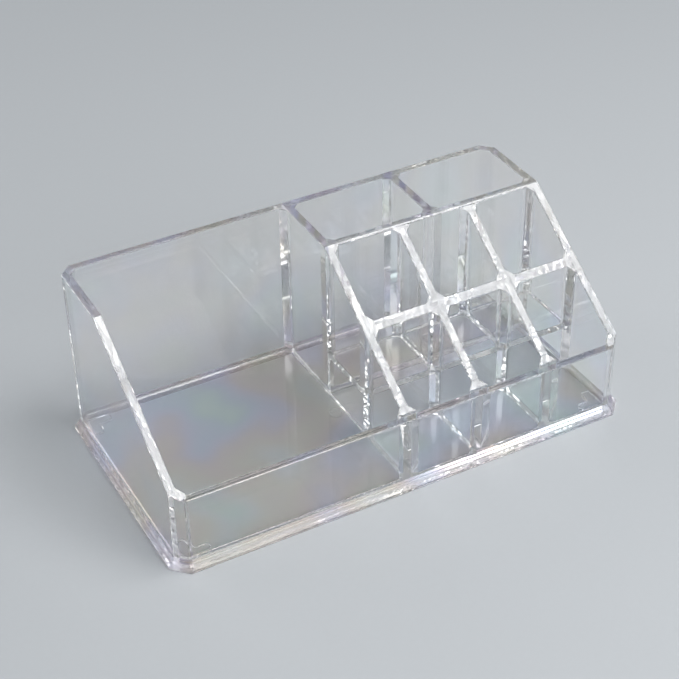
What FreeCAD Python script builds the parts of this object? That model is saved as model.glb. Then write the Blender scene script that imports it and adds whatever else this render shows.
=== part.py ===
import FreeCAD, Part
import math
import os

import Sketcher

# A clear desk organizer: a wide bin and a stepped grid of cells on a flared plinth.
# Millimetres, +X to the right, +Y to the back, +Z up, origin under the middle of the plinth.

# Driving dimensions
DIMENSIONS = {
    "plinth_width": 230.0,
    "plinth_depth": 123.0,
    "plinth_height": 5.2,
    "plinth_lip": 1.0,
    "plinth_flare": 3.0,
    "floor_thickness": 2.5,
    "step_height": 22.0,
    "step_thickness": 3.5,
    "wall": 4.0,
    "body_corner": 5.5,
    "overall_height": 85.5,
    "front_height": 37.5,
    "flat_depth": 42.5,
    "slope_toe": 2.0,
    "cross_wall_lead": 1.3,
    "bin_width": 106.0,
    "foot_flare": 3.0,
    "lug_arm": 11.0,
    "lug_width": 4.5,
    "lug_height": 2.0,
    "lug_gap": 2.0,
    "lug_round": 1.5,
    "gate_diameter": 7.0,
    "gate_depth": 0.4,
    "gate_offset": 3.8,
    "overrun": 5.0,
}

COLUMNS = 3
REAR_CELLS = 2

doc = FreeCAD.newDocument("vanity_organizer")
dims = doc.addObject("Spreadsheet::Sheet", "dims")
for row, (alias, value) in enumerate(DIMENSIONS.items(), start=1):
    dims.set(f"A{row}", alias)
    dims.set(f"B{row}", str(value))
    dims.setAlias(f"B{row}", alias)
doc.recompute()

# Expressions for the planes that several pieces share.
# A 45 degree corner grows by this share of the distance when its outline is offset outwards.
CORNER_SHARE = "(2 - sqrt(2))"

OUTER_X = "(dims.plinth_width / 2 - dims.plinth_flare)"
OUTER_Y = "(dims.plinth_depth / 2 - dims.plinth_flare)"
INNER_X = f"({OUTER_X} - dims.wall)"
INNER_Y = f"({OUTER_Y} - dims.wall)"
INNER_CORNER = f"(dims.body_corner - dims.wall * {CORNER_SHARE})"
PLINTH_CORNER = f"(dims.body_corner + dims.plinth_flare * {CORNER_SHARE})"

# The floor panel lies inside the plinth, flush with its top, and every wall starts at that height.
FLOOR_TOP = "dims.plinth_height"
FLOOR_UNDER = "(dims.plinth_height - dims.floor_thickness)"

# The front and back walls are bonded to the side walls where the inside corner ends.
RETURN_X = f"({INNER_X} - {INNER_CORNER})"

# The slope runs from the top of the rear cross wall down to the top of the front wall.
SLOPE_START_Y = f"({OUTER_Y} - dims.flat_depth)"
SLOPE_END_Y = f"(dims.slope_toe - {OUTER_Y})"

# The bin lies between the left wall and the bin divider, the grid between that and the right wall.
BIN_X = f"(dims.bin_width - {INNER_X})"
GRID_X = f"({BIN_X} + dims.wall)"
GRID_WIDTH = f"({INNER_X} - {GRID_X})"
COLUMN = f"(({GRID_WIDTH} - dims.wall * {COLUMNS - 1}) / {COLUMNS})"
REAR_CELL = f"(({GRID_WIDTH} - dims.wall * {REAR_CELLS - 1}) / {REAR_CELLS})"

# The front face of the rear cross wall stands a little ahead of the start of the slope.
CROSS_FRONT_Y = f"({SLOPE_START_Y} - dims.cross_wall_lead)"
CROSS_REAR_Y = f"({CROSS_FRONT_Y} + dims.wall)"

# The middle walls stand midway between the front wall and the start of the slope.
MIDDLE_FRONT_Y = f"(({SLOPE_START_Y} - {INNER_Y} - dims.wall) / 2)"
MIDDLE_REAR_Y = f"({MIDDLE_FRONT_Y} + dims.wall)"

# The floor of the middle row is raised between the middle walls and the rear cross wall.
STEP_UNDER = f"({FLOOR_TOP} + dims.step_height - dims.step_thickness)"


def new_body(label):
    body = doc.addObject("PartDesign::Body", label)
    body.Label = label
    return body


def new_sketch(body, name, role, height="0"):
    """Sketch on one of the body's own origin planes, raised along the plane's normal."""
    sketch = body.newObject("Sketcher::SketchObject", f"{body.Label}_{name}")
    plane = next(item for item in body.Origin.OriginFeatures if item.Role == role)
    sketch.AttachmentSupport = [(plane, "")]
    sketch.MapMode = "FlatFace"
    sketch.setExpression("AttachmentOffset.Base.z", height)
    return sketch


def polygon(body, name, role, corners, height="0"):
    """Closed outline through corners that are given as pairs of expressions."""
    sketch = new_sketch(body, name, role, height)
    points = [FreeCAD.Vector(*(sketch.evalExpression(value) for value in corner)) for corner in corners]
    count = len(points)
    for index, point in enumerate(points):
        sketch.addGeometry(Part.LineSegment(point, points[(index + 1) % count]), False)
    for index in range(count):
        sketch.addConstraint(Sketcher.Constraint("Coincident", index, 2, (index + 1) % count, 1))
    for index, (corner, point) in enumerate(zip(corners, points)):
        for kind, expression, value in zip(("DistanceX", "DistanceY"), corner, point):
            place = sketch.addConstraint(Sketcher.Constraint(kind, index, 1, value))
            sketch.renameConstraint(place, f"{kind}_{index}")
            sketch.setExpression(f"Constraints.{kind}_{index}", expression)
    return sketch


def pad(body, sketch, length):
    feature = body.newObject("PartDesign::Pad", f"{sketch.Name}_pad")
    feature.Profile = sketch
    feature.setExpression("Length", length)
    doc.recompute()
    return feature


def pocket(body, sketch, length=None, upwards=False):
    """Cut by a depth, or right through to both sides where no depth is given."""
    before = body.Shape.Volume
    feature = body.newObject("PartDesign::Pocket", f"{sketch.Name}_pocket")
    feature.Profile = sketch
    if length is None:
        feature.SideType = "Two sides"
        feature.Type = "ThroughAll"
        feature.Type2 = "ThroughAll"
    else:
        feature.setExpression("Length", length)
        feature.Reversed = upwards
    doc.recompute()
    if not body.Shape.Volume < before:
        raise RuntimeError(f"{feature.Name} removes nothing")
    return feature


def place(body, **bases):
    for axis, expression in bases.items():
        body.setExpression(f"Placement.Base.{axis}", expression)


def octagon(half_x, half_y, corner):
    """Rectangle with 45 degree corners, centred on the origin."""
    return [
        (f"{corner} - {half_x}", f"-{half_y}"),
        (f"{half_x} - {corner}", f"-{half_y}"),
        (half_x, f"{corner} - {half_y}"),
        (half_x, f"{half_y} - {corner}"),
        (f"{half_x} - {corner}", half_y),
        (f"{corner} - {half_x}", half_y),
        (f"-{half_x}", f"{half_y} - {corner}"),
        (f"-{half_x}", f"{corner} - {half_y}"),
    ]


def rectangle(left, right, front, rear):
    return [(left, front), (right, front), (right, rear), (left, rear)]


def footed(start, end):
    """Panel seen from above as pairs of across and along, with a flared foot at each end."""
    face = "dims.wall / 2"
    toe = "(dims.wall / 2 + dims.foot_flare)"
    return [
        (f"-{toe}", start),
        (toe, start),
        (face, f"{start} + dims.foot_flare"),
        (face, f"{end} - dims.foot_flare"),
        (toe, end),
        (f"-{toe}", end),
        (f"-{face}", f"{end} - dims.foot_flare"),
        (f"-{face}", f"{start} + dims.foot_flare"),
    ]


def raise_wall(body, outline, top):
    """Wall of a given outline, standing at the height of the floor panel's top."""
    sketch = polygon(body, "plan", "XY_Plane", outline, FLOOR_TOP)
    pad(body, sketch, f"{top} - {FLOOR_TOP}")


def cut_slope(body):
    """Take off what stands above the slope."""
    front = f"-{OUTER_Y} - dims.overrun"
    above = "dims.overall_height + dims.overrun"
    outline = [
        (SLOPE_START_Y, "dims.overall_height"),
        (SLOPE_START_Y, above),
        (front, above),
        (front, "dims.front_height"),
        (SLOPE_END_Y, "dims.front_height"),
    ]
    pocket(body, polygon(body, "slope", "YZ_Plane", outline))


def cut_step(body):
    """Clear the room of the raised floor and of the hollow under it."""
    outline = rectangle(f"-{GRID_WIDTH}", GRID_WIDTH, MIDDLE_REAR_Y, CROSS_FRONT_Y)
    pocket(body, polygon(body, "step", "XY_Plane", outline, FLOOR_TOP), "dims.step_height", upwards=True)


# Base
def plinth():
    """Ring with an upright lip and a bevel that draws in to the walls; hollow inside."""
    body = new_body("plinth")
    outer = octagon("(dims.plinth_width / 2)", "(dims.plinth_depth / 2)", PLINTH_CORNER)
    pad(body, polygon(body, "lip", "XY_Plane", outer), "dims.plinth_lip")
    bevel = body.newObject("PartDesign::AdditiveLoft", "plinth_bevel")
    bevel.Profile = polygon(body, "bevel_foot", "XY_Plane", outer, "dims.plinth_lip")
    seat = octagon(OUTER_X, OUTER_Y, "dims.body_corner")
    bevel.Sections = [polygon(body, "bevel_seat", "XY_Plane", seat, "dims.plinth_height")]
    bevel.Ruled = True
    doc.recompute()
    pocket(body, polygon(body, "hollow", "XY_Plane", octagon(INNER_X, INNER_Y, INNER_CORNER)))
    return body


def floor_panel():
    """Slab in the plinth, open under the raised floor, with the mark of its moulding gate below the bin."""
    body = new_body("floor_panel")
    outline = octagon(INNER_X, INNER_Y, INNER_CORNER)
    pad(body, polygon(body, "plan", "XY_Plane", outline, FLOOR_UNDER), "dims.floor_thickness")
    opening = rectangle(GRID_X, f"{INNER_X} + dims.overrun", MIDDLE_REAR_Y, CROSS_FRONT_Y)
    pocket(body, polygon(body, "opening", "XY_Plane", opening))
    gate = new_sketch(body, "gate", "XY_Plane", FLOOR_UNDER)
    radius = gate.evalExpression("dims.gate_diameter / 2")
    place_x = f"{BIN_X} - dims.gate_offset"
    centre = FreeCAD.Vector(gate.evalExpression(place_x), 0, 0)
    gate.addGeometry(Part.Circle(centre, FreeCAD.Vector(0, 0, 1), radius), False)
    gate.addConstraint(Sketcher.Constraint("PointOnObject", 0, 3, -1))
    offset = gate.addConstraint(Sketcher.Constraint("DistanceX", 0, 3, centre.x))
    gate.renameConstraint(offset, "offset")
    gate.setExpression("Constraints.offset", place_x)
    size = gate.addConstraint(Sketcher.Constraint("Diameter", 0, 2 * radius))
    gate.renameConstraint(size, "diameter")
    gate.setExpression("Constraints.diameter", "dims.gate_diameter")
    pocket(body, gate, "dims.gate_depth", upwards=True)
    return body


def step_floor():
    """Raised floor of the middle row, from the bin divider to the right wall."""
    body = new_body("step_floor")
    outline = rectangle(GRID_X, INNER_X, MIDDLE_REAR_Y, CROSS_FRONT_Y)
    pad(body, polygon(body, "plan", "XY_Plane", outline, STEP_UNDER), "dims.step_thickness")
    return body


def corner_lug(label, side_x, side_y, turn):
    """L-shaped lug under one corner of the floor, with rounded ends."""
    body = new_body(label)
    outline = [
        ("0", "0"),
        ("dims.lug_arm", "0"),
        ("dims.lug_arm", "dims.lug_width"),
        ("dims.lug_width", "dims.lug_width"),
        ("dims.lug_width", "dims.lug_arm"),
        ("0", "dims.lug_arm"),
    ]
    arms = pad(body, polygon(body, "plan", "XY_Plane", outline), "dims.lug_height")
    upright = [
        f"Edge{number}"
        for number, edge in enumerate(arms.Shape.Edges, start=1)
        if math.isclose(edge.BoundBox.ZLength, edge.Length)
    ]
    rounding = body.newObject("PartDesign::Fillet", f"{label}_rounding")
    rounding.Base = (arms, upright)
    rounding.setExpression("Radius", "dims.lug_round")
    body.Placement = FreeCAD.Placement(FreeCAD.Vector(), FreeCAD.Rotation(FreeCAD.Vector(0, 0, 1), turn))
    place(
        body,
        x=f"{side_x} * ({INNER_X} - dims.lug_gap)",
        y=f"{side_y} * ({INNER_Y} - dims.lug_gap)",
        z=f"{FLOOR_UNDER} - dims.lug_height",
    )
    return body


# Outer walls
def cross_panel(label, near_y, far_y, top):
    """Plain panel between the corner returns of the side walls."""
    body = new_body(label)
    raise_wall(body, rectangle(f"-{RETURN_X}", RETURN_X, near_y, far_y), top)
    return body


def side_wall(label, side):
    """Sloped wall that turns through both body corners at 45 degrees."""
    body = new_body(label)
    outline = [
        (RETURN_X, f"-{OUTER_Y}"),
        (f"{OUTER_X} - dims.body_corner", f"-{OUTER_Y}"),
        (OUTER_X, f"dims.body_corner - {OUTER_Y}"),
        (OUTER_X, f"{OUTER_Y} - dims.body_corner"),
        (f"{OUTER_X} - dims.body_corner", OUTER_Y),
        (RETURN_X, OUTER_Y),
        (RETURN_X, INNER_Y),
        (INNER_X, f"{INNER_Y} - {INNER_CORNER}"),
        (INNER_X, f"{INNER_CORNER} - {INNER_Y}"),
        (RETURN_X, f"-{INNER_Y}"),
    ]
    raise_wall(body, [(f"{side} * ({x})", y) for x, y in outline], "dims.overall_height")
    cut_slope(body)
    return body


# Dividers
def divider(label, centre_x, front_y, rear_y):
    """Full-height panel that runs from front to back."""
    body = new_body(label)
    raise_wall(body, footed(front_y, rear_y), "dims.overall_height")
    place(body, x=centre_x)
    return body


def bin_divider():
    """Sloped panel that parts the bin from the grid."""
    body = divider("bin_divider", f"{BIN_X} + dims.wall / 2", f"-{INNER_Y}", INNER_Y)
    cut_slope(body)
    return body


def grid_divider(label, number):
    """Sloped panel at the right of a column, counted from 1; its rear part stands on the raised floor."""
    centre_x = f"{GRID_X} + {number} * ({COLUMN} + dims.wall) - dims.wall / 2"
    body = divider(label, centre_x, f"-{INNER_Y}", CROSS_FRONT_Y)
    cut_slope(body)
    cut_step(body)
    return body


def cross_wall(label, centre_x, length, front_y):
    """Panel from side to side, cut by the slope; its feet at the raised floor stand on that."""
    body = new_body(label)
    plan = footed(f"-{length} / 2", f"{length} / 2")
    outline = [(along, f"{front_y} + dims.wall / 2 + {across}") for across, along in plan]
    raise_wall(body, outline, "dims.overall_height")
    cut_slope(body)
    cut_step(body)
    place(body, x=centre_x)
    return body


def middle_walls():
    """One short panel in each column."""
    return [
        cross_wall(
            f"middle_wall_{name}",
            f"{GRID_X} + {COLUMN} / 2 + {number} * ({COLUMN} + dims.wall)",
            COLUMN,
            MIDDLE_FRONT_Y,
        )
        for number, name in enumerate(("left", "centre", "right"))
    ]


pieces = [
    plinth(),
    floor_panel(),
    step_floor(),
    corner_lug("corner_lug_front_left", -1, -1, 0),
    corner_lug("corner_lug_front_right", 1, -1, 90),
    corner_lug("corner_lug_rear_right", 1, 1, 180),
    corner_lug("corner_lug_rear_left", -1, 1, 270),
    cross_panel("back_wall", INNER_Y, OUTER_Y, "dims.overall_height"),
    cross_panel("front_wall", f"-{OUTER_Y}", f"-{INNER_Y}", "dims.front_height"),
    side_wall("left_wall", -1),
    side_wall("right_wall", 1),
    bin_divider(),
    cross_wall("rear_cross_wall", f"{GRID_X} + {GRID_WIDTH} / 2", GRID_WIDTH, CROSS_FRONT_Y),
    divider("rear_divider", f"{GRID_X} + {REAR_CELL} + dims.wall / 2", CROSS_REAR_Y, INNER_Y),
    grid_divider("grid_divider_left", 1),
    grid_divider("grid_divider_right", 2),
    *middle_walls(),
]

doc.recompute()
for item in doc.Objects:
    if {"Invalid", "Error"} & set(item.State):
        raise RuntimeError(f"{item.Label} did not build: {item.State}")
for body in pieces:
    if body.Shape.isNull() or not body.Shape.isValid() or len(body.Shape.Solids) != 1:
        raise RuntimeError(f"{body.Label} is not one valid solid")

os.makedirs("parts", exist_ok=True)
for body in pieces:
    body.Shape.exportStep(f"parts/{body.Label}.step")
    box = body.Shape.BoundBox
    print(f"{body.Label:24s} {body.Shape.Volume:9.1f} mm3  {box}")
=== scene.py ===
import math

import bmesh
import bpy
from mathutils import Matrix, Vector, geometry
from mathutils.bvhtree import BVHTree


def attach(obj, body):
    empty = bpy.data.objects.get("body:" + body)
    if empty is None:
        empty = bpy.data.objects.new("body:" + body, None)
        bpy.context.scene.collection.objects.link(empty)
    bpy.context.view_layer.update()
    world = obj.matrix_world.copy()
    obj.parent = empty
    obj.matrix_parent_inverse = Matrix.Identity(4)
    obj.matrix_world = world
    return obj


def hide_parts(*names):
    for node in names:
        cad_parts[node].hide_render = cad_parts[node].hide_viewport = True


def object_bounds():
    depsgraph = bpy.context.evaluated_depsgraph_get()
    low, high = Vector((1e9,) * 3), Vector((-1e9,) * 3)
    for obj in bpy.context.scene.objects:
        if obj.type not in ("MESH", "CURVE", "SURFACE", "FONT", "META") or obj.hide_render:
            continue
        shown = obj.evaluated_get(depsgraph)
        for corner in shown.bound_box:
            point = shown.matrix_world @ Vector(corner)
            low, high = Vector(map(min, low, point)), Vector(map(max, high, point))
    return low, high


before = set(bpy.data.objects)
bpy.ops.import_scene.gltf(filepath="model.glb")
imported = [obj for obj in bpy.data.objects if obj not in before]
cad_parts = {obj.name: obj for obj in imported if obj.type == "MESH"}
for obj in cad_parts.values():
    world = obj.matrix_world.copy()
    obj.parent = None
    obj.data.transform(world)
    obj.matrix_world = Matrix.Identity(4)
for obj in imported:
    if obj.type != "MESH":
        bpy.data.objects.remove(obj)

bl_info = {
    "name": "Clear Vanity Organizer",
    "version": (1, 0, 0),
    "blender": (4, 5, 0),
    "location": "View3D > Sidebar > Organizer",
    "description": "Dresses a clear moulded organizer, panel by panel, and sets up its studio",
    "category": "Object",
}

CAD_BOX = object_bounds()
MM = 0.001

# Faces nearer than this are one bonded face, and points nearer than this are one point.
TOUCH = 0.002 * MM
# Faces that turn less than this are one flat face.
FLAT = math.radians(0.5)
# Edges that turn more than this are rounded.
SHARP = math.radians(20)
# A face looks up if its normal has more than this share of height.
UPWARD = 0.34
# A face is a 45 degree flare if its normal has more than this share of both width and depth.
ASKEW = 0.5
# The gate mark's steps, each inwards and downwards
GATE_STEPS = ((0.8 * MM, 0.0), (0.25 * MM, 0.15 * MM), (0.7 * MM, 0.0), (0.25 * MM, 0.15 * MM))
# Air between the plinth's rim and the floor, so that the rim reflects as it does on a real table
AIR_FILM = 0.05 * MM
# A cove's two slanted steps, each as shares of its size inwards and downwards
COVE_STEPS = ((0.35, 0.65), (0.65, 0.35))

# Share of the stress tints in the clear and in the satin faces: they gather where the plastic is thick.
CLEAR_SHARES = {"plinth": 2.5, "floor": 1.4, "wall": 0.6, "divider": 0.4, "lug": 0.2}
SATIN_SHARES = {"plinth": 3.5, "rim": 0.5}
# The tints in the order in which rising stress brings them
FRINGES = ("#FFFFFF", "#FFEFC8", "#FFD9C6", "#E6D6FF", "#C6DDFF", "#D9FFEA", "#FFFFFF")
# Least and most roughness of the polished and of the satin faces, and the roughness of the paper
POLISHED = (0.0, 0.012)
SATIN = (0.06, 0.12)
PAPER_SHEEN = 0.4
# Sizes of the plastic's flow in the mould, of the smears of handling and of the paper's fibre
FLOW = 60 * MM
SMEAR = 28 * MM
FIBRE = 2.5 * MM
# Share of the smears at which haze starts and is full, and the darkest and palest shade of the fibre
SMEAR_RANGE = (0.5, 0.8)
FIBRE_SHADES = (0.985, 1.015)

# Place and size of each softbox, in metres
TOP_SOFTBOX = ((0.51, -0.36, 1.20), (0.8, 0.8))
REAR_SOFTBOX = ((-0.95, 1.0, 0.42), (0.9, 0.7))
FRONT_SOFTBOX = ((0.52, -1.08, 0.66), (1.0, 0.5))
# A line of sight crosses many walls and joints before it leaves the organizer.
BOUNCES = 160
CROSSINGS = 200
# The most light that a bounced ray brings, so that the softboxes leave no sparkle in the edges
BOUNCED_LIGHT = 2.0

# Side of the photograph in pixels, and width of the camera's sensor in millimetres
IMAGE_SIDE = 679
SENSOR = 36.0

OUTER_WALLS = ("back_wall", "front_wall", "left_wall", "right_wall")
DIVIDERS = ("bin_divider", "rear_cross_wall", "rear_divider", "grid_divider_left", "grid_divider_right")
MIDDLE_WALLS = ("middle_wall_left", "middle_wall_centre", "middle_wall_right")
FLOORS = ("floor_panel", "step_floor")
LUGS = tuple(sorted(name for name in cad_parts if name.startswith("corner_lug_")))


def linear(hex_colour):
    """An sRGB hex colour as linear red, green, blue and alpha."""
    channels = [int(hex_colour[at:at + 2], 16) / 255 for at in (1, 3, 5)]
    return tuple(c / 12.92 if c <= 0.04045 else ((c + 0.055) / 1.055) ** 2.4 for c in channels) + (1.0,)


# Settings that a user would change
class OrganizerPlastic(bpy.types.PropertyGroup):
    tint: bpy.props.FloatVectorProperty(
        name="Tint", description="Colour that one surface of the clear plastic lets through",
        size=4, min=0, max=1, subtype="COLOR", default=linear("#FDFEFE"),
    )
    ior: bpy.props.FloatProperty(
        name="IOR", description="Refraction of clear styrene", default=1.59, min=1, max=2,
    )
    edge_round: bpy.props.FloatProperty(
        name="Edge round", description="Rounding of the free edges", default=0.4 * MM, unit="LENGTH",
    )
    edge_segments: bpy.props.IntProperty(
        name="Edge segments", description="Facets across one rounded edge", default=2, min=1, max=6,
    )
    cove: bpy.props.FloatProperty(
        name="Cove", description="Hollow rounding at the foot of the walls",
        default=0.9 * MM, unit="LENGTH",
    )
    fringe_spacing: bpy.props.FloatProperty(
        name="Fringe spacing", description="Distance between moulding stress tints",
        default=22 * MM, unit="LENGTH",
    )
    fringe_strength: bpy.props.FloatProperty(
        name="Fringe strength", description="Share of the stress tints",
        default=0.15, min=0, max=1, subtype="FACTOR",
    )


class OrganizerStage(bpy.types.PropertyGroup):
    floor_colour: bpy.props.FloatVectorProperty(
        name="Floor", description="Colour of the plain floor",
        size=4, min=0, max=1, subtype="COLOR", default=linear("#BEC1C4"),
    )
    floor_radius: bpy.props.FloatProperty(
        name="Floor radius", description="Half width of the round floor", default=6.0, unit="LENGTH",
    )
    top_power: bpy.props.FloatProperty(
        name="Top light", description="Power of the softbox overhead", default=11.0, unit="POWER",
    )
    side_power: bpy.props.FloatProperty(
        name="Side light", description="Power of each upright softbox", default=6.0, unit="POWER",
    )
    horizon: bpy.props.FloatVectorProperty(
        name="Horizon", description="Colour of the studio at eye level",
        size=4, min=0, max=1, subtype="COLOR", default=linear("#5F6366"),
    )
    zenith: bpy.props.FloatVectorProperty(
        name="Zenith", description="Colour of the studio overhead",
        size=4, min=0, max=1, subtype="COLOR", default=linear("#B4B8BB"),
    )


class OrganizerCamera(bpy.types.PropertyGroup):
    azimuth: bpy.props.FloatProperty(
        name="Azimuth", description="Turn round the organizer, 0 from the front",
        default=math.radians(-27.98), subtype="ANGLE",
    )
    elevation: bpy.props.FloatProperty(
        name="Elevation", description="Height above the horizon",
        default=math.radians(36.12), subtype="ANGLE",
    )
    roll: bpy.props.FloatProperty(
        name="Roll", description="Tilt about the line of sight",
        default=math.radians(-1.01), subtype="ANGLE",
    )
    distance: bpy.props.FloatProperty(
        name="Distance", description="From the target to the camera", default=755.2 * MM, unit="LENGTH",
    )
    target: bpy.props.FloatVectorProperty(
        name="Target", description="Point in the middle of the picture",
        default=(-3.1 * MM, 0.5 * MM, 44.5 * MM), subtype="XYZ", unit="LENGTH",
    )
    focal_pixels: bpy.props.FloatProperty(
        name="Focal length", description="Focal length in pixels of the picture", default=1669.2,
    )


# Nodes and materials
def add_node(tree, kind, settings=(), **inputs):
    """Adds a node, sets its properties, and sets or links its inputs; _ in an input's name is a space."""
    node = tree.nodes.new(kind)
    for name, value in dict(settings).items():
        setattr(node, name, value)
    for name, value in inputs.items():
        socket = node.inputs[int(name[1:])] if name[1:].isdigit() else node.inputs[name.replace("_", " ")]
        if isinstance(value, bpy.types.NodeSocket):
            tree.links.new(value, socket)
        else:
            socket.default_value = value
    return node


def new_material(name):
    material = bpy.data.materials.new(name)
    material.use_nodes = True
    material.node_tree.nodes.clear()
    return material, material.node_tree


def stress_tint(tree, place, plastic, share):
    """Pastel bands of frozen moulding stress, a couple of centimetres apart, on the plastic's own tint."""
    flow = add_node(tree, "ShaderNodeTexNoise", Vector=place, Scale=1 / FLOW, Detail=2.0)
    bands = add_node(tree, "ShaderNodeMath", {"operation": "MULTIPLY"}, _0=flow.outputs["Fac"],
                     _1=FLOW / plastic.fringe_spacing)
    cycle = add_node(tree, "ShaderNodeMath", {"operation": "FRACT"}, _0=bands.outputs[0])
    ramp = add_node(tree, "ShaderNodeValToRGB", Fac=cycle.outputs[0])
    stops = ramp.color_ramp.elements
    for number, colour in enumerate(FRINGES):
        at = number / (len(FRINGES) - 1)
        stop = stops[0] if number == 0 else stops[-1] if at == 1 else stops.new(at)
        stop.position = at
        stop.color = linear(colour)
    return add_node(tree, "ShaderNodeMix", {"data_type": "RGBA"}, _0=plastic.fringe_strength * share,
                    _6=tuple(plastic.tint), _7=ramp.outputs["Color"]).outputs[2]


def clear_styrene(name, plastic, share, roughness=POLISHED):
    """Clear general-purpose styrene from a polished mould: bright, with a breath of handling haze and a
    share of faint stress tints."""
    material, tree = new_material(name)
    place = add_node(tree, "ShaderNodeTexCoord").outputs["Object"]
    smear = add_node(tree, "ShaderNodeTexNoise", Vector=place, Scale=1 / SMEAR, Detail=4.0)
    haze = add_node(tree, "ShaderNodeMapRange", Value=smear.outputs["Fac"],
                    _1=SMEAR_RANGE[0], _2=SMEAR_RANGE[1], _3=roughness[0], _4=roughness[1])
    shader = add_node(
        tree, "ShaderNodeBsdfPrincipled", Base_Color=stress_tint(tree, place, plastic, share),
        Transmission_Weight=1.0, IOR=plastic.ior, Roughness=haze.outputs["Result"],
    )
    add_node(tree, "ShaderNodeOutputMaterial", Surface=shader.outputs["BSDF"])
    return material


def satin_styrene(name, plastic, share):
    """Styrene where the mould was stoned and not polished: a soft white band that evens out the light
    guided up the wall."""
    return clear_styrene(name, plastic, share, SATIN)


def solvent_bond(name):
    """Solvent-welded styrene: the two faces have run into one, so the joint can't be seen."""
    material, tree = new_material(name)
    shader = add_node(tree, "ShaderNodeBsdfPrincipled", Alpha=0.0, IOR=1.0, Roughness=0.0)
    add_node(tree, "ShaderNodeOutputMaterial", Surface=shader.outputs["BSDF"])
    return material


def studio_paper(colour):
    """Seamless paper with a soft sheen: plain, with a mottle of fibre that shows only as softness."""
    material, tree = new_material("studio paper")
    place = add_node(tree, "ShaderNodeTexCoord").outputs["Object"]
    fibre = add_node(tree, "ShaderNodeTexNoise", Vector=place, Scale=1 / FIBRE, Detail=3.0)
    shade = add_node(tree, "ShaderNodeMapRange", Value=fibre.outputs["Fac"],
                     _3=FIBRE_SHADES[0], _4=FIBRE_SHADES[1])
    tone = add_node(tree, "ShaderNodeMix", {"data_type": "RGBA", "blend_type": "MULTIPLY"}, _0=1.0,
                    _6=tuple(colour), _7=shade.outputs["Result"])
    shader = add_node(tree, "ShaderNodeBsdfPrincipled", Base_Color=tone.outputs[2], Roughness=PAPER_SHEEN)
    add_node(tree, "ShaderNodeOutputMaterial", Surface=shader.outputs["BSDF"])
    return material


def shared(name, make, *values):
    """The material of this name, made the first time that it is asked for."""
    return bpy.data.materials.get(name) or make(name, *values)


# Meshes
def clean_copy(node):
    """A node's solid as whole flat faces."""
    solid = bmesh.new()
    solid.from_mesh(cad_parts[node].data)
    bmesh.ops.remove_doubles(solid, verts=solid.verts, dist=TOUCH)
    bmesh.ops.dissolve_limit(solid, angle_limit=FLAT, verts=solid.verts, edges=solid.edges)
    solid.normal_update()
    return solid


def boxes_cross(first, second):
    """True if the boxes round two faces touch."""
    return all(
        min(v.co[axis] for v in first.verts) < max(v.co[axis] for v in second.verts) + TOUCH
        and min(v.co[axis] for v in second.verts) < max(v.co[axis] for v in first.verts) + TOUCH
        for axis in range(3)
    )


def faces_meet(face, patch):
    """True if a face lies on a neighbour's face and looks the other way."""
    if face.normal.dot(patch.normal) > -math.cos(FLAT):
        return False
    if abs((face.verts[0].co - patch.verts[0].co).dot(patch.normal)) > TOUCH:
        return False
    return boxes_cross(face, patch)


def imprint(solid, neighbour):
    """Cuts a solid's faces along the outline of each face of the neighbour that lies on them."""
    for patch in neighbour.faces:
        if not any(faces_meet(face, patch) for face in solid.faces):
            continue
        for loop in patch.loops:
            along = loop.link_loop_next.vert.co - loop.vert.co
            met = [face for face in solid.faces if faces_meet(face, patch)]
            parts = {item for face in met for item in (*face.verts, *face.edges)}
            bmesh.ops.bisect_plane(
                solid, geom=[*met, *parts], dist=TOUCH,
                plane_co=loop.vert.co, plane_no=along.cross(patch.normal),
            )


def inside_points(solid):
    """A point inside each face: the middle of its largest triangle."""
    best = {}
    for loops in solid.calc_loop_triangles():
        corners = [loop.vert.co for loop in loops]
        area = geometry.area_tri(*corners)
        if area > best.get(loops[0].face, (0, None))[0]:
            best[loops[0].face] = (area, sum(corners, Vector()) / 3)
    return {face: middle for face, (_, middle) in best.items()}


def mark_bonds(solid, trees):
    """Gives each face that lies on a neighbour the second material slot."""
    for face, point in inside_points(solid).items():
        for tree in trees:
            place, normal, _, _ = tree.find_nearest(point, TOUCH)
            if place is not None and normal.dot(face.normal) < 0:
                face.material_index = 1


def can_round(face, width):
    """True unless a face is bonded or is the low wall of a shallow recess."""
    heights = [vert.co.z for vert in face.verts]
    return not face.material_index and not TOUCH < max(heights) - min(heights) < 2 * width


def round_edges(solid, width, segments):
    """Rounds the free outside edges, and leaves the edges of a bond or of a shallow recess sharp."""
    edges = [
        edge for edge in solid.edges
        if edge.is_convex and edge.calc_face_angle(0) > SHARP
        and all(can_round(face, width) for face in edge.link_faces)
    ]
    bmesh.ops.bevel(
        solid, geom=edges, offset=width, offset_type="OFFSET", segments=segments, profile=0.5,
        affect="EDGES", clamp_overlap=True, material=-1,
    )


def cove_cells(solid, size):
    """Sinks the floor of each cell a little below the walls, in two slanted steps that round its edge."""
    cells = [face for face in solid.faces if face.normal.z > math.cos(FLAT) and not face.material_index]
    for inset_share, depth_share in COVE_STEPS:
        bmesh.ops.inset_region(
            solid, faces=cells, use_boundary=True, use_even_offset=True,
            thickness=size * inset_share, depth=-size * depth_share,
        )


def ring_gate(solid):
    """Brings the middle of the gate mark down in two steps, which show as rings."""
    gate = [face for face in solid.faces if is_gate(face)]
    rings = list(gate)
    for inset, rise in GATE_STEPS:
        rings += bmesh.ops.inset_region(
            solid, faces=gate, use_boundary=True, use_even_offset=True, thickness=inset, depth=rise,
        )["faces"]
    for face in rings:
        face.material_index = 2


def is_rim(face):
    """True for the tops and slopes of the walls and the bevel of the plinth."""
    return face.normal.z > UPWARD


def is_rim_or_flare(face):
    """True for the rims of the dividers and for the flares at their ends."""
    return is_rim(face) or min(abs(face.normal.x), abs(face.normal.y)) > ASKEW


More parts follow.
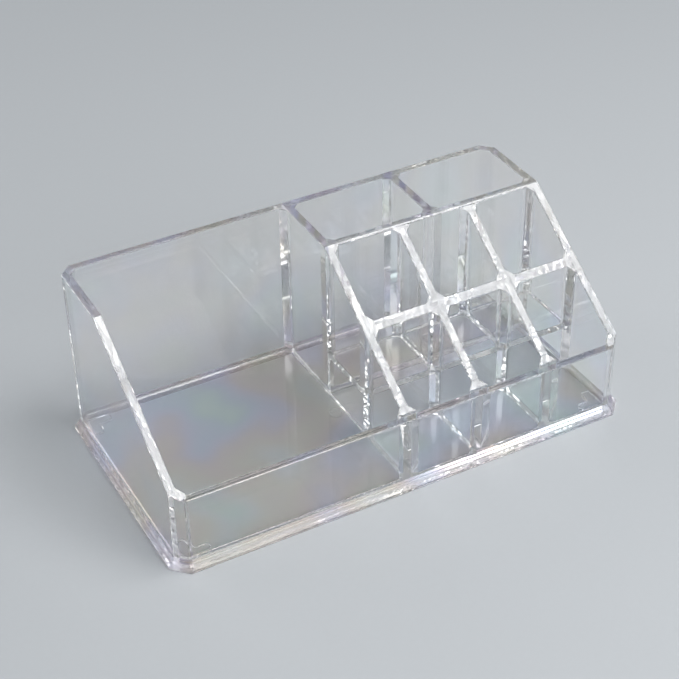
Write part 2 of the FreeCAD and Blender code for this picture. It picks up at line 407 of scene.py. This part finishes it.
def is_lug(face):
    """True for the sides and the underside of a lug."""
    return face.normal.z < UPWARD


def is_gate(face):
    """True for a recess that looks down: inside edges all round."""
    return face.normal.z < -UPWARD and all(edge.calc_face_angle_signed(0) < -SHARP for edge in face.edges)


def mark_satin(solid, is_satin):
    """Gives the free faces of a kind the third material slot."""
    for face in solid.faces:
        if not face.material_index and is_satin(face):
            face.material_index = 2


def dress(context, node, surface, satin, is_satin):
    """Makes the piece that stands for a CAD node: free edges rounded, bonded faces welded."""
    plastic = context.scene.organizer_plastic
    solid = clean_copy(node)
    neighbours = [clean_copy(name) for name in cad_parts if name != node]
    for neighbour in neighbours:
        imprint(solid, neighbour)
    mark_bonds(solid, [BVHTree.FromBMesh(neighbour) for neighbour in neighbours])
    if node in FLOORS:
        cove_cells(solid, plastic.cove)
        ring_gate(solid)
    round_edges(solid, plastic.edge_round, plastic.edge_segments)
    mark_satin(solid, is_satin)
    mesh = bpy.data.meshes.new(f"{node}_clear")
    solid.to_mesh(mesh)
    for spare in (solid, *neighbours):
        spare.free()
    for material in (surface, shared("solvent bond", solvent_bond), satin):
        mesh.materials.append(material)
    piece = bpy.data.objects.new(f"{node}_clear", mesh)
    context.scene.collection.objects.link(piece)
    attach(piece, "root")
    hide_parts(node)


def dress_group(context, nodes, kind, band, is_satin):
    """Dresses like pieces in the clear plastic of their kind and the satin plastic of their band."""
    plastic = context.scene.organizer_plastic
    surface = shared(f"clear styrene {kind}", clear_styrene, plastic, CLEAR_SHARES[kind])
    satin = shared(f"satin styrene {band}", satin_styrene, plastic, SATIN_SHARES[band])
    for node in nodes:
        dress(context, node, surface, satin, is_satin)


# Operators
class ORGANIZER_OT_plinth(bpy.types.Operator):
    """Dress the flared plinth"""
    bl_idname = "organizer.plinth"
    bl_label = "Plinth"

    def execute(self, context):
        dress_group(context, ("plinth",), "plinth", "plinth", is_rim)
        return {"FINISHED"}


class ORGANIZER_OT_floors(bpy.types.Operator):
    """Dress the floor panel and the raised floor of the middle row"""
    bl_idname = "organizer.floors"
    bl_label = "Floors"

    def execute(self, context):
        dress_group(context, FLOORS, "floor", "rim", is_gate)
        return {"FINISHED"}


class ORGANIZER_OT_outer_walls(bpy.types.Operator):
    """Dress the four outer walls"""
    bl_idname = "organizer.outer_walls"
    bl_label = "Outer walls"

    def execute(self, context):
        dress_group(context, OUTER_WALLS, "wall", "rim", is_rim)
        return {"FINISHED"}


class ORGANIZER_OT_dividers(bpy.types.Operator):
    """Dress the dividers of the bin and the cells"""
    bl_idname = "organizer.dividers"
    bl_label = "Dividers"

    def execute(self, context):
        dress_group(context, DIVIDERS + MIDDLE_WALLS, "divider", "rim", is_rim_or_flare)
        return {"FINISHED"}


class ORGANIZER_OT_corner_lugs(bpy.types.Operator):
    """Dress the L-shaped lugs under the corners"""
    bl_idname = "organizer.corner_lugs"
    bl_label = "Corner lugs"

    def execute(self, context):
        dress_group(context, LUGS, "lug", "rim", is_lug)
        return {"FINISHED"}


def add_softbox(scene, name, place, size, power):
    """A rectangular area light that faces the organizer."""
    light = bpy.data.lights.new(name, "AREA")
    light.shape = "RECTANGLE"
    light.size, light.size_y = size
    light.energy = power
    lamp = bpy.data.objects.new(name, light)
    scene.collection.objects.link(lamp)
    middle = (CAD_BOX[0] + CAD_BOX[1]) / 2
    lamp.location = place
    lamp.rotation_euler = (Vector(place) - middle).to_track_quat("Z", "Y").to_euler()


def add_floor(scene, stage):
    mesh = bpy.data.meshes.new("studio_floor")
    disc = bmesh.new()
    bmesh.ops.create_circle(disc, cap_ends=True, segments=96, radius=stage.floor_radius)
    disc.to_mesh(mesh)
    disc.free()
    mesh.materials.append(studio_paper(stage.floor_colour))
    floor = bpy.data.objects.new("studio_floor", mesh)
    floor.location.z = -AIR_FILM
    scene.collection.objects.link(floor)


def add_world(scene, stage):
    """A soft studio: grey at eye level, paler overhead."""
    world = bpy.data.worlds.new("soft studio")
    world.use_nodes = True
    tree = world.node_tree
    tree.nodes.clear()
    look = add_node(tree, "ShaderNodeTexCoord").outputs["Generated"]
    height = add_node(tree, "ShaderNodeSeparateXYZ", Vector=look).outputs["Z"]
    sky = add_node(tree, "ShaderNodeMix", {"data_type": "RGBA"}, _0=height,
                   _6=tuple(stage.horizon), _7=tuple(stage.zenith))
    back = add_node(tree, "ShaderNodeBackground", Color=sky.outputs[2], Strength=1.0)
    add_node(tree, "ShaderNodeOutputWorld", Surface=back.outputs["Background"])
    scene.world = world


def add_camera(scene, view):
    """The photograph's camera, placed by its angles about a target."""
    camera = bpy.data.cameras.new("camera")
    camera.sensor_width = SENSOR
    camera.lens = view.focal_pixels / IMAGE_SIDE * SENSOR
    eye = bpy.data.objects.new("camera", camera)
    scene.collection.objects.link(eye)
    back = Vector((
        math.sin(view.azimuth) * math.cos(view.elevation),
        -math.cos(view.azimuth) * math.cos(view.elevation),
        math.sin(view.elevation),
    ))
    turn = (-back).to_track_quat("-Z", "Y").to_matrix() @ Matrix.Rotation(view.roll, 3, "Z")
    eye.matrix_world = Matrix.Translation(Vector(view.target) + back * view.distance) @ turn.to_4x4()
    scene.camera = eye


class ORGANIZER_OT_stage(bpy.types.Operator):
    """Set up the floor, the lights and the camera"""
    bl_idname = "organizer.stage"
    bl_label = "Studio"

    def execute(self, context):
        scene = context.scene
        stage = scene.organizer_stage
        add_floor(scene, stage)
        add_world(scene, stage)
        add_softbox(scene, "top_softbox", *TOP_SOFTBOX, stage.top_power)
        add_softbox(scene, "rear_softbox", *REAR_SOFTBOX, stage.side_power)
        add_softbox(scene, "front_softbox", *FRONT_SOFTBOX, stage.side_power)
        add_camera(scene, scene.organizer_camera)
        scene.view_settings.view_transform = "Standard"
        scene.cycles.max_bounces = BOUNCES
        scene.cycles.transmission_bounces = BOUNCES
        scene.cycles.glossy_bounces = BOUNCES
        scene.cycles.transparent_max_bounces = CROSSINGS
        scene.cycles.blur_glossy = 0.0
        scene.cycles.sample_clamp_indirect = BOUNCED_LIGHT
        return {"FINISHED"}


class ORGANIZER_PT_sidebar(bpy.types.Panel):
    """Sizes, colours and steps of the organizer"""
    bl_idname = "ORGANIZER_PT_sidebar"
    bl_label = "Clear Organizer"
    bl_space_type = "VIEW_3D"
    bl_region_type = "UI"
    bl_category = "Organizer"

    def draw(self, context):
        for settings in SETTINGS:
            group = getattr(context.scene, settings)
            for name in group.__annotations__:
                self.layout.prop(group, name)
        for step in STEPS:
            self.layout.operator(step.bl_idname)


SETTINGS = {
    "organizer_plastic": OrganizerPlastic,
    "organizer_stage": OrganizerStage,
    "organizer_camera": OrganizerCamera,
}
STEPS = (
    ORGANIZER_OT_plinth,
    ORGANIZER_OT_floors,
    ORGANIZER_OT_outer_walls,
    ORGANIZER_OT_dividers,
    ORGANIZER_OT_corner_lugs,
    ORGANIZER_OT_stage,
)
CLASSES = (*SETTINGS.values(), *STEPS, ORGANIZER_PT_sidebar)


def register():
    for kind in CLASSES:
        bpy.utils.register_class(kind)
    for name, kind in SETTINGS.items():
        setattr(bpy.types.Scene, name, bpy.props.PointerProperty(type=kind))


def unregister():
    for name in SETTINGS:
        delattr(bpy.types.Scene, name)
    for kind in reversed(CLASSES):
        bpy.utils.unregister_class(kind)


def main():
    register()
    bpy.ops.organizer.plinth()
    bpy.ops.organizer.floors()
    bpy.ops.organizer.outer_walls()
    bpy.ops.organizer.dividers()
    bpy.ops.organizer.corner_lugs()
    bpy.ops.organizer.stage()
    bpy.context.view_layer.update()


if __name__ == "__main__":
    main()
